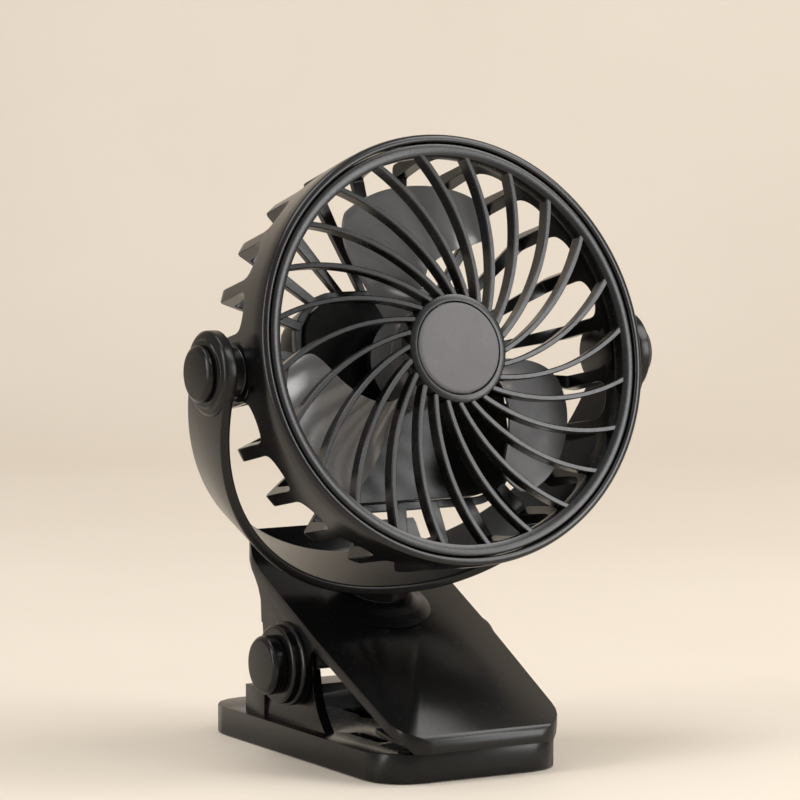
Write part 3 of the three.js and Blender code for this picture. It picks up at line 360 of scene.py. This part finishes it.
# the fins' rear run: outer and inner side at its rim end, its slope towards the pod and where its rows lie
REAR_OUTER = (69.6, -17)
REAR_INNER = (66.6, -14.6)
REAR_SLOPE = 3 / 69.6
REAR_START = 65.4
REAR_THICKNESS_SHIFT = 0.8
REAR_ROWS = (0.0, 0.35, 0.7, 1.0)


def slot_half_width(radius):
    fin = FIN_NARROW + (FIN_WIDE - FIN_NARROW) * (radius - FIN_NARROW_RADIUS) / FIN_WIDENING_LENGTH
    return radius * math.sin(math.pi / FIN_COUNT) - fin / 2


def pod_reach(angle, growth=0.0):
    """Distance from the head's axis to the pod's outline in a given direction."""
    low, high = 10.0, 70.0
    corner = POD_CORNER + growth
    half, top, bottom = POD_HALF_WIDTH + growth, POD_TOP + growth, POD_BOTTOM - growth
    for _ in range(40):
        reach = (low + high) / 2
        x, y = abs(reach * math.cos(angle)), reach * math.sin(angle)
        edge = top if y > 0 else -bottom
        dx, dy = max(0, x - (half - corner)), max(0, abs(y) - (edge - corner))
        inside = math.hypot(dx, dy) < corner and x < half and abs(y) < edge
        low, high = (reach, high) if inside else (low, reach)
    return low


def barrel():
    """One wall sheet with its slots, given its thickness point by point."""
    outer, inner, faces = [], [], []

    def corner(angle, row):
        (ro, zo), (ri, zi) = row
        outer.append((ro * math.cos(angle), ro * math.sin(angle), zo))
        inner.append((ri * math.cos(angle), ri * math.sin(angle), zi))
        return len(outer) - 1

    arch_steps = 10
    fin_steps = 3
    pitch = TAU / FIN_COUNT
    opening = math.asin(slot_half_width(SLOT_RADIUS) / SLOT_RADIUS)
    columns = []
    for s in range(FIN_COUNT):
        centre = s * pitch
        for k in range(arch_steps):
            turn = math.pi * (1 - k / arch_steps)
            columns.append((centre + opening * math.cos(turn), math.sin(turn), s, None))
        for k in range(fin_steps):
            columns.append((centre + opening + (pitch - 2 * opening) * k / fin_steps, 0.0, s, k))
    grid = []
    for angle, arch, s, k in columns:
        line = [corner(angle, row) for row in WALL_ROWS]
        edge = FIN_START + (SLOT_FRONT - FIN_START) * arch
        behind = SLOT_FRONT - edge
        line.append(corner(angle, ((SLOT_EDGE_OUTER - SLOT_TAPER_OUTER * behind, edge),
                                   (SLOT_EDGE_INNER - SLOT_TAPER_INNER * behind, edge))))
        grid.append(line)
    total = len(grid)
    rows = len(WALL_ROWS)
    for c in range(total):
        left, right = grid[c], grid[(c + 1) % total]
        faces += [(left[r], left[r + 1], right[r + 1], right[r]) for r in range(rows)]
    for s in range(FIN_COUNT):
        first = s * (arch_steps + fin_steps) + arch_steps
        last_row = [grid[(first + k) % total][rows] for k in range(fin_steps + 1)]
        centre = (s + 0.5) * pitch
        stop = pod_reach(centre, POD_RIM)
        inward = [REAR_START + (stop - REAR_START) * t for t in REAR_ROWS]
        path = FIN_ROWS + [((r, REAR_OUTER[1] - (REAR_OUTER[0] - r) * REAR_SLOPE),
                            (r - REAR_THICKNESS_SHIFT, REAR_INNER[1] - (REAR_INNER[0] - r) * REAR_SLOPE))
                           for r in inward]
        for row in path:
            radius = row[0][0]
            half = pitch / 2 - math.asin(slot_half_width(radius) / radius)
            next_row = [corner(centre + half * (2 * k / fin_steps - 1), row) for k in range(fin_steps + 1)]
            faces += [(last_row[k], next_row[k], next_row[k + 1], last_row[k + 1]) for k in range(fin_steps)]
            last_row = next_row
    return give_thickness(outer, inner, faces)


def give_thickness(outer, inner, faces):
    """Joins an outer and an inner sheet of the same faces along their open edges."""
    count = len(outer)
    verts = outer + inner
    all_faces = list(faces) + [tuple(i + count for i in face[::-1]) for face in faces]
    used = {}
    for face in faces:
        for a, b in zip(face, face[1:] + face[:1]):
            used[(a, b)] = True
    for a, b in used:
        if (b, a) not in used:
            all_faces.append((b, a, a + count, b + count))
    return verts, all_faces


def pod_ring(inset, z):
    """Points of the pod's outline, moved inwards by inset, at height z."""
    radius = max(0.4, POD_CORNER - inset)
    x, top, bottom = POD_HALF_WIDTH - inset, POD_TOP - inset, POD_BOTTOM + inset
    points = []
    for cx, cy, start in ((x - radius, top - radius, 0), (-x + radius, top - radius, 90),
                          (-x + radius, bottom + radius, 180), (x - radius, bottom + radius, 270)):
        for k in range(POD_CORNER_STEPS + 1):
            angle = math.radians(start + 90 * k / POD_CORNER_STEPS)
            points.append((cx + radius * math.cos(angle), cy + radius * math.sin(angle), z))
    return points


def closed_loop_skin(rings):
    """A ring-shaped solid: the last ring joins the first."""
    verts, faces = skin(rings, caps=False)
    size = len(rings[0])
    last = (len(rings) - 1) * size
    faces += [(last + k, last + (k + 1) % size, (k + 1) % size, k) for k in range(size)]
    return verts, faces


pod_frame = closed_loop_skin([pod_ring(-0.3, -15.8), pod_ring(-0.3, -18.4), pod_ring(-0.6, -18.8),
                              pod_ring(-2.9, -18.6), pod_ring(-3.2, -18.2), pod_ring(-3.2, -15.8)][::-1])
boss = lathe(soft([(0, 69.6), (10.4, 69.6), (10.4, 72.9), (8.5, 73.3), (8.5, 78.4), (0, 78.4)], 0.5))
boss = moved(boss, Matrix.Translation((0, -HEAD_RISE, 0)) @ ALONG_X)
cage = new_object("barrel_cage", *together(barrel(), pod_frame, both_sides(boss)), HEAD)
finish_piece(cage, BARREL, "head", ("rear_cage",), bevel=0.4, bevel_angle=50)


# ---------------------------------------------------------------- head: front grille

RIB_COUNT = 24
RIB_FIRST = math.radians(3.7)
RIB_ARC_RADIUS = 75
RIB_ARC_CENTRE = (26.3, 62.6)
RIB_ARC_HUB = math.radians(-99)
RIB_ARC_RIM = math.radians(-56.6)
RIB_STEPS = 28
RIB_FACE_HUB = 24.1
RIB_FACE_RIM = 22.3
RIB_SECTION = [(-0.62, 0.0), (0.62, 0.0), (0.95, -0.4), (0.68, -5.4), (-0.68, -5.4), (-0.95, -0.4)]


def grille_rib(first):
    rings = []
    turn = Matrix.Rotation(first, 4, "Z")
    for i in range(RIB_STEPS + 1):
        t = i / RIB_STEPS
        angle = RIB_ARC_HUB + (RIB_ARC_RIM - RIB_ARC_HUB) * t
        face = RIB_FACE_HUB + (RIB_FACE_RIM - RIB_FACE_HUB) * t
        ring = []
        for side, depth in RIB_SECTION:
            reach = RIB_ARC_RADIUS + side
            point = Vector((RIB_ARC_CENTRE[0] + reach * math.cos(angle),
                            RIB_ARC_CENTRE[1] + reach * math.sin(angle), face + depth))
            ring.append(tuple(turn @ point))
        rings.append(ring[::-1])
    return skin(rings)


grille_ring = lathe([(66.4, 17.4), (70.7, 17.4), (70.7, 22.3), (70.45, 22.75), (69.9, 22.95), (67.6, 22.65),
                     (66.75, 22.3), (66.4, 21.5)], 192)
grille_hub = lathe([(15.9, 21.6), (15.9, 24.3), (16.2, 24.6), (17.9, 24.6), (18.45, 24.35), (18.7, 23.8),
                    (18.7, 18.6), (6, 18.6), (6, 21.6)], 128)
ribs = [grille_rib(RIB_FIRST + TAU * i / RIB_COUNT) for i in range(RIB_COUNT)]
grille = new_object("spiral_grille", *together(grille_ring, grille_hub, *ribs), HEAD)
finish_piece(grille, GRILLE, "head", ("front_grille",), smooth_angle=32)

disc = lathe([(0, 21.9), (15.55, 21.9), (15.55, 24.7), (15.35, 25.1), (14.95, 25.35), (14.3, 25.4),
              (0, 25.4)], 128)
disc = new_object("hub_insert", *disc, HEAD)
finish_piece(disc, DISC, "head", ("hub_disc",), smooth_angle=50)


# ---------------------------------------------------------------- impeller

BLADE_COUNT = 3
BLADE_RADIUS = 60
BLADE_THICKNESS = 1.5
BLADE_TRAILING = 120
BLADE_LEADING = 100
BLADE_PITCH_DEPTH = 8.5
BLADE_ROOT = 15.5


def blade_point(out, across, offset):
    radius = BLADE_ROOT + (BLADE_RADIUS - BLADE_ROOT) * out * (1 - 0.07 * abs(across) ** 3 * out)
    sweep = min(max((out - 0.1) / 0.7, 0), 1)
    trailing = BLADE_TRAILING - (2 * out ** 2 + 7 * out ** 6)
    leading = BLADE_LEADING - (44 * sweep * sweep * (3 - 2 * sweep) - 5 * out ** 8)
    angle = math.radians(leading + (trailing - leading) * (across + 1) / 2)
    depth = -across * BLADE_PITCH_DEPTH * (0.95 - 0.15 * out) + 1.5 * (1 - across * across)
    return (radius * math.cos(angle), radius * math.sin(angle), 1.2 + depth + offset)


def blade():
    outs, acrosses = 30, 28
    front, back, faces = [], [], []
    for i in range(outs + 1):
        for j in range(acrosses + 1):
            out, across = i / outs, 2 * j / acrosses - 1
            front.append(blade_point(out, across, BLADE_THICKNESS / 2))
            back.append(blade_point(out, across, -BLADE_THICKNESS / 2))
    size = acrosses + 1
    for i in range(outs):
        for j in range(acrosses):
            a = i * size + j
            faces.append((a, a + size, a + size + 1, a + 1))
    return give_thickness(front, back, faces)


hub = lathe(soft([(0, 12), (8, 11.9), (13.5, 11.4), (17, 8.6), (17, -7), (15, -7), (15, 6), (0, 6)], 0.8), 96)
blades = [moved(blade(), Matrix.Rotation(TAU * i / BLADE_COUNT, 4, "Z")) for i in range(BLADE_COUNT)]
rotor = new_object("paddle_impeller", *together(hub, *blades), HEAD)
finish_piece(rotor, BLADE, "rotor", ("impeller",), bevel=0.55, bevel_angle=50)


# ---------------------------------------------------------------- pod behind the impeller

BUTTON_Y = 14
dressed("pod_front", "pod_front_shell", BLACK, "head", 0.8)
dressed("pod_back", "pod_back_shell", BLACK, "head", 0.7, 30)
dressed("button_bezel", "button_ring", BLACK, "head", 0.25)
dressed("charging_socket", "socket_shell", STEEL, "head", 0.12)

button = lathe(soft([(0, -38.0), (3.6, -38.1), (5.5, -37.3), (5.5, -33.6), (2, -33.6), (2, -31.1),
                     (0, -31.1)], 0.5), 64)
button = new_object("power_key", *moved(button, Matrix.Translation((0, BUTTON_Y, 0))), HEAD)
finish_piece(button, DISC, "button", ("power_button",))

lens = lathe(soft([(0, -36.15), (1.45, -36.05), (1.45, -31), (0, -31)], 0.3), 32)
lens = new_object("status_lens", *moved(lens, Matrix.Translation((-15, BUTTON_Y, 0))), HEAD)
finish_piece(lens, LENS, "head", ("indicator_lens",))


# ---------------------------------------------------------------- screws with cross recesses

def cross_screw(name, head_radius, head_face, seat, shaft_radius, shaft_end, matrix, body, node):
    """Pan head with a cross recess; the head's face looks along -Z of matrix."""
    profile = soft([(0, head_face), (head_radius, head_face + 0.25), (head_radius, seat),
                    (shaft_radius, seat), (shaft_radius, shaft_end), (0, shaft_end)], 0.25)
    piece = new_object(name, *lathe(profile, 40), matrix)
    for turn in (0, 1):
        long, short, deep = head_radius * 0.62, head_radius * 0.15, 0.45
        half = (long, short) if turn == 0 else (short, long)
        top, low = head_face - 0.5, head_face + deep
        ring = [(-half[0], -half[1]), (half[0], -half[1]), (half[0], half[1]), (-half[0], half[1])]
        verts = [(x, y, top) for x, y in ring] + [(x * 0.8, y * 0.8, low) for x, y in ring]
        faces = [(3, 2, 1, 0), (4, 5, 6, 7)] + [(k, (k + 1) % 4, 4 + (k + 1) % 4, 4 + k) for k in range(4)]
        cutter = new_object("cutter", verts, faces, matrix)
        modifier = piece.modifiers.new("recess", "BOOLEAN")
        modifier.operation = "DIFFERENCE"
        modifier.object = cutter
        modifier.solver = "EXACT"
        bpy.context.view_layer.objects.active = piece
        with bpy.context.temp_override(object=piece, active_object=piece):
            bpy.ops.object.modifier_apply(modifier=modifier.name)
        bpy.data.objects.remove(cutter)
    return finish_piece(piece, STEEL, body, (node,), smooth_angle=30)


BASE_SCREWS = [(-27.5, -42), (27.5, -42), (-27.5, 42), (27.5, 42)]
POD_SCREWS = [(-29.5, 16.5), (29.5, 16.5), (-29.5, -13), (29.5, -13)]
for i, (x, y) in enumerate(BASE_SCREWS, 1):
    place = Matrix.Translation((x, y, 0))
    cross_screw(f"sole_screw_{i}", 2.7, 0.85, 1.5, 1.2, 6.2, place, "base", f"base_screw_{i}")
for i, (x, y) in enumerate(POD_SCREWS, 1):
    place = HEAD @ Matrix.Translation((x, y, 0))
    cross_screw(f"back_screw_{i}", 2.7, -35.75, -34.7, 1.2, -18.5, place, "head", f"pod_screw_{i}")


# ---------------------------------------------------------------- yoke

YOKE_HALF_WIDTH = 79.5
YOKE_DROP = 80
YOKE_POWER = 2.15
YOKE_THICKNESS = 3.5
YOKE_FRONT = -14
YOKE_BACK = 12.5
YOKE_CORNER = 0.9
YOKE_STEPS = 120


def yoke_point(turn, thickness):
    c, s = math.cos(turn), math.sin(turn)
    x = (YOKE_HALF_WIDTH + thickness) * math.copysign(abs(c) ** (2 / YOKE_POWER), c)
    z = TILT_HEIGHT - (YOKE_DROP + thickness) * abs(s) ** (2 / YOKE_POWER)
    return x, z


def yoke_band():
    """The band's section has rounded corners and follows the two curves of its inner and outer side."""
    corner = YOKE_CORNER
    outside, back, front = YOKE_THICKNESS - corner, YOKE_BACK - corner, YOKE_FRONT + corner
    section = []
    for thick, y, start in ((outside, back, 0), (corner, back, 90), (corner, front, 180),
                            (outside, front, 270)):
        for k in range(5):
            angle = math.radians(start + 22.5 * k)
            section.append((thick + corner * math.cos(angle), y + corner * math.sin(angle)))
    rings = []
    for i in range(YOKE_STEPS + 1):
        turn = math.pi * (1 + i / YOKE_STEPS)
        rings.append([(yoke_point(turn, t)[0], y, yoke_point(turn, t)[1]) for t, y in section])
    return skin(rings)


arm_end = lathe(soft([(8.6, 79.5), (14.4, 79.5), (14.4, 83.2), (13.3, 84.1), (11.6, 84.3), (11.2, 84.9),
                      (11.2, 85.2), (4.9, 85.2)], 0.45), 96)
arm_end = moved(arm_end, Matrix.Translation((0, 0, TILT_HEIGHT)) @ ALONG_X)
collar = lathe(soft([(5, 4.2), (11.7, 4.2), (12.2, 4.8), (12.2, 8.4), (14.5, 10.2), (5, 10.2)], 0.6), 96)
post = lathe([(2.5, -3), (5, -3), (5, 6), (2.5, 6)], 48)
bracket = new_object("yoke_bow", *together(yoke_band(), both_sides(arm_end), collar, post), YOKE)
finish_piece(bracket, BLACK, "yoke", ("yoke_bracket",), smooth_angle=40)

for side, matrix in (("right", YOKE_AXLE), ("left", FLIP_X @ YOKE_AXLE)):
    cap = lathe(soft([(0, 85.5), (9.6, 85.5), (9.6, 87.1), (8.3, 88.1), (0, 88.4)], 0.4), 96)
    cap = new_object(f"arm_cap_{side}", *cap, matrix, side == "left")
    finish_piece(cap, BLACK, "yoke", (f"yoke_cap_{side}",))


# ---------------------------------------------------------------- clamp

dressed("base_shell", "base_tray", BLACK, "base", 0.8)
dressed("base_cover", "base_underside", BLACK, "base", 0.2)
dressed("rubber_sole", "sole", RUBBER, "base", 0.4)
dressed("lower_grip_pad", "lower_grip", RUBBER, "base", 0.15)
dressed("upper_jaw", "upper_clamp", BLACK, "jaw", 0.9)
dressed("jaw_liner", "clamp_liner", BLACK, "jaw", 0.3)
dressed("upper_grip_pad", "upper_grip", RUBBER, "jaw", 0.3)

flange = lathe(soft([(3.4, 32.3), (14.65, 32.3), (14.65, 35.6), (13.9, 36.1), (13.65, 36.4), (13.65, 39.0),
                     (12.8, 39.65), (3.4, 39.65)], 0.35), 96)
flanges = new_object("clamp_bosses", *both_sides(moved(flange, CLIP_AXLE)))
finish_piece(flanges, BLACK, "jaw")
seat = lathe(soft([(5.3, 0.5), (21, -0.9), (18.6, 0.15), (16.6, 0.9), (15, 1.9), (13.6, 2.8), (12.6, 3.05),
                   (5.3, 3.05)], 0.5), 96)
seat = new_object("swivel_seat", *seat, YOKE)
finish_piece(seat, BLACK, "jaw", smooth_angle=60)

for side, matrix in (("right", CLIP_AXLE), ("left", FLIP_X @ CLIP_AXLE)):
    cap = lathe(soft([(0, 39.9), (10.3, 39.9), (10.3, 44.0), (9.1, 45.3), (0, 45.4)], 0.5), 96)
    cap = new_object(f"axle_cap_{side}", *cap, matrix, side == "left")
    finish_piece(cap, BLACK, "base", (f"clip_pin_cap_{side}",))


SPRING_TURNS = 7
SPRING_MEAN = 6.2
SPRING_PITCH = 2.6
SPRING_LEG = 17
SPRING_START = math.radians(-60)
SPRING_STEPS_PER_TURN = 32


def clip_coil():
    """Torsion spring at rest: a leg on the base, the coil round the pin, a leg under the jaw."""
    turns, mean, leg, start = SPRING_TURNS, SPRING_MEAN, SPRING_LEG, SPRING_START
    steps = turns * SPRING_STEPS_PER_TURN
    coil = turns * TAU * mean
    curve = bpy.data.curves.new("coil_spring", "CURVE")
    curve.dimensions = "3D"
    curve.bevel_depth = 0.75 * MM
    curve.bevel_resolution = 4
    curve.use_fill_caps = True
    spline = curve.splines.new("POLY")
    stations = [-leg] + [coil * i / steps for i in range(steps + 1)] + [coil + leg]
    spline.points.add(len(stations) - 1)
    for point, along in zip(spline.points, stations):
        turn = start + min(max(along, 0), coil) / mean
        spare = along if along < 0 else max(0, along - coil)
        x = ((turn - start) / TAU - turns / 2) * SPRING_PITCH
        y = PIVOT_Y + mean * math.cos(turn) - spare * math.sin(turn)
        z = PIVOT_Z + mean * math.sin(turn) + spare * math.cos(turn)
        point.co = (x * MM, y * MM, z * MM, 1)
    piece = bpy.data.objects.new("coil_spring", curve)
    bpy.context.scene.collection.objects.link(piece)
    curve.materials.append(STEEL)
    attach(piece, "base")
    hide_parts("clip_spring")


clip_coil()

# ---------------------------------------------------------------- CAD nodes that keep their shape

for node, material in {
    "clip_pin": STEEL, "swivel_washer": RUBBER, "spring_washer": STEEL, "swivel_screw": STEEL,
    "tilt_pin_right": STEEL, "tilt_pin_left": STEEL, "friction_washer_right": RUBBER,
    "friction_washer_left": RUBBER, "motor_shaft": STEEL, "motor_bush": BRASS, "motor_can": DARK_STEEL,
    "battery_cell": CELL_WRAP, "circuit_board": BOARD,
}.items():
    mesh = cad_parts[node].data
    mesh.materials.clear()
    mesh.materials.append(material)


# ---------------------------------------------------------------- floor, backdrop and light

FLOOR_DEPTH = 0.9
FLOOR_FRONT = -3.0
FLOOR_HALF_WIDTH = 4.0
BACKDROP_BEND = 0.5
BACKDROP_HEIGHT = 2.2
BACKDROP_STEPS = 12


def studio():
    """A pale floor that bends up into a backdrop behind the fan."""
    floor_material, nodes, links, shader = node_tree("floor")
    where = nodes.new("ShaderNodeTexCoord")
    tone = ramp(nodes, links, noise(nodes, links, where, 3, 4), (0.72, 0.65, 0.56), (0.76, 0.69, 0.6))
    links.new(tone, shader.inputs["Base Color"])
    shader.inputs["Roughness"].default_value = 0.6
    shader.inputs["Specular IOR Level"].default_value = 0.2
    profile = [(FLOOR_FRONT, 0.0), (FLOOR_DEPTH, 0.0)]
    for k in range(1, BACKDROP_STEPS + 1):
        angle = math.pi / 2 * k / BACKDROP_STEPS
        profile.append((FLOOR_DEPTH + BACKDROP_BEND * math.sin(angle), BACKDROP_BEND * (1 - math.cos(angle))))
    profile.append((FLOOR_DEPTH + BACKDROP_BEND, BACKDROP_HEIGHT))
    verts = [(x, y, z) for y, z in profile for x in (-FLOOR_HALF_WIDTH, FLOOR_HALF_WIDTH)]
    faces = [(2 * k, 2 * k + 1, 2 * k + 3, 2 * k + 2) for k in range(len(profile) - 1)]
    mesh = bpy.data.meshes.new("floor")
    mesh.from_pydata([tuple(Matrix.Rotation(-CAMERA_YAW, 3, "Z") @ Vector(v)) for v in verts], [], faces)
    mesh.shade_smooth()
    mesh.materials.append(floor_material)
    floor = bpy.data.objects.new("floor", mesh)
    bpy.context.scene.collection.objects.link(floor)


def area_light(name, at, target, width, height, power, colour=(1, 1, 1)):
    data = bpy.data.lights.new(name, "AREA")
    data.shape = "RECTANGLE"
    data.size, data.size_y = width, height
    data.energy = power
    data.color = colour
    light = bpy.data.objects.new(name, data)
    light.location = at
    light.rotation_euler = (Vector(target) - Vector(at)).to_track_quat("-Z", "Y").to_euler()
    bpy.context.scene.collection.objects.link(light)


studio()
AIM = (0, -0.02, 0.12)
area_light("key", (0.9, -0.7, 1.25), AIM, 0.8, 0.8, 14, (1.0, 0.98, 0.95))
area_light("grille_light", (1.0, -1.3, 0.46), (0, -0.04, 0.14), 0.45, 0.8, 10)
area_light("left_strip", (-1.25, -0.1, 0.5), AIM, 0.3, 1.1, 7, (1.0, 0.98, 0.96))
area_light("top", (-0.5, 0.1, 1.6), AIM, 1.0, 0.8, 10)

world = bpy.data.worlds.new("studio")
bpy.context.scene.world = world
world.use_nodes = True
background = world.node_tree.nodes["Background"]
background.inputs["Color"].default_value = (1.0, 0.96, 0.91, 1)
background.inputs["Strength"].default_value = 0.45
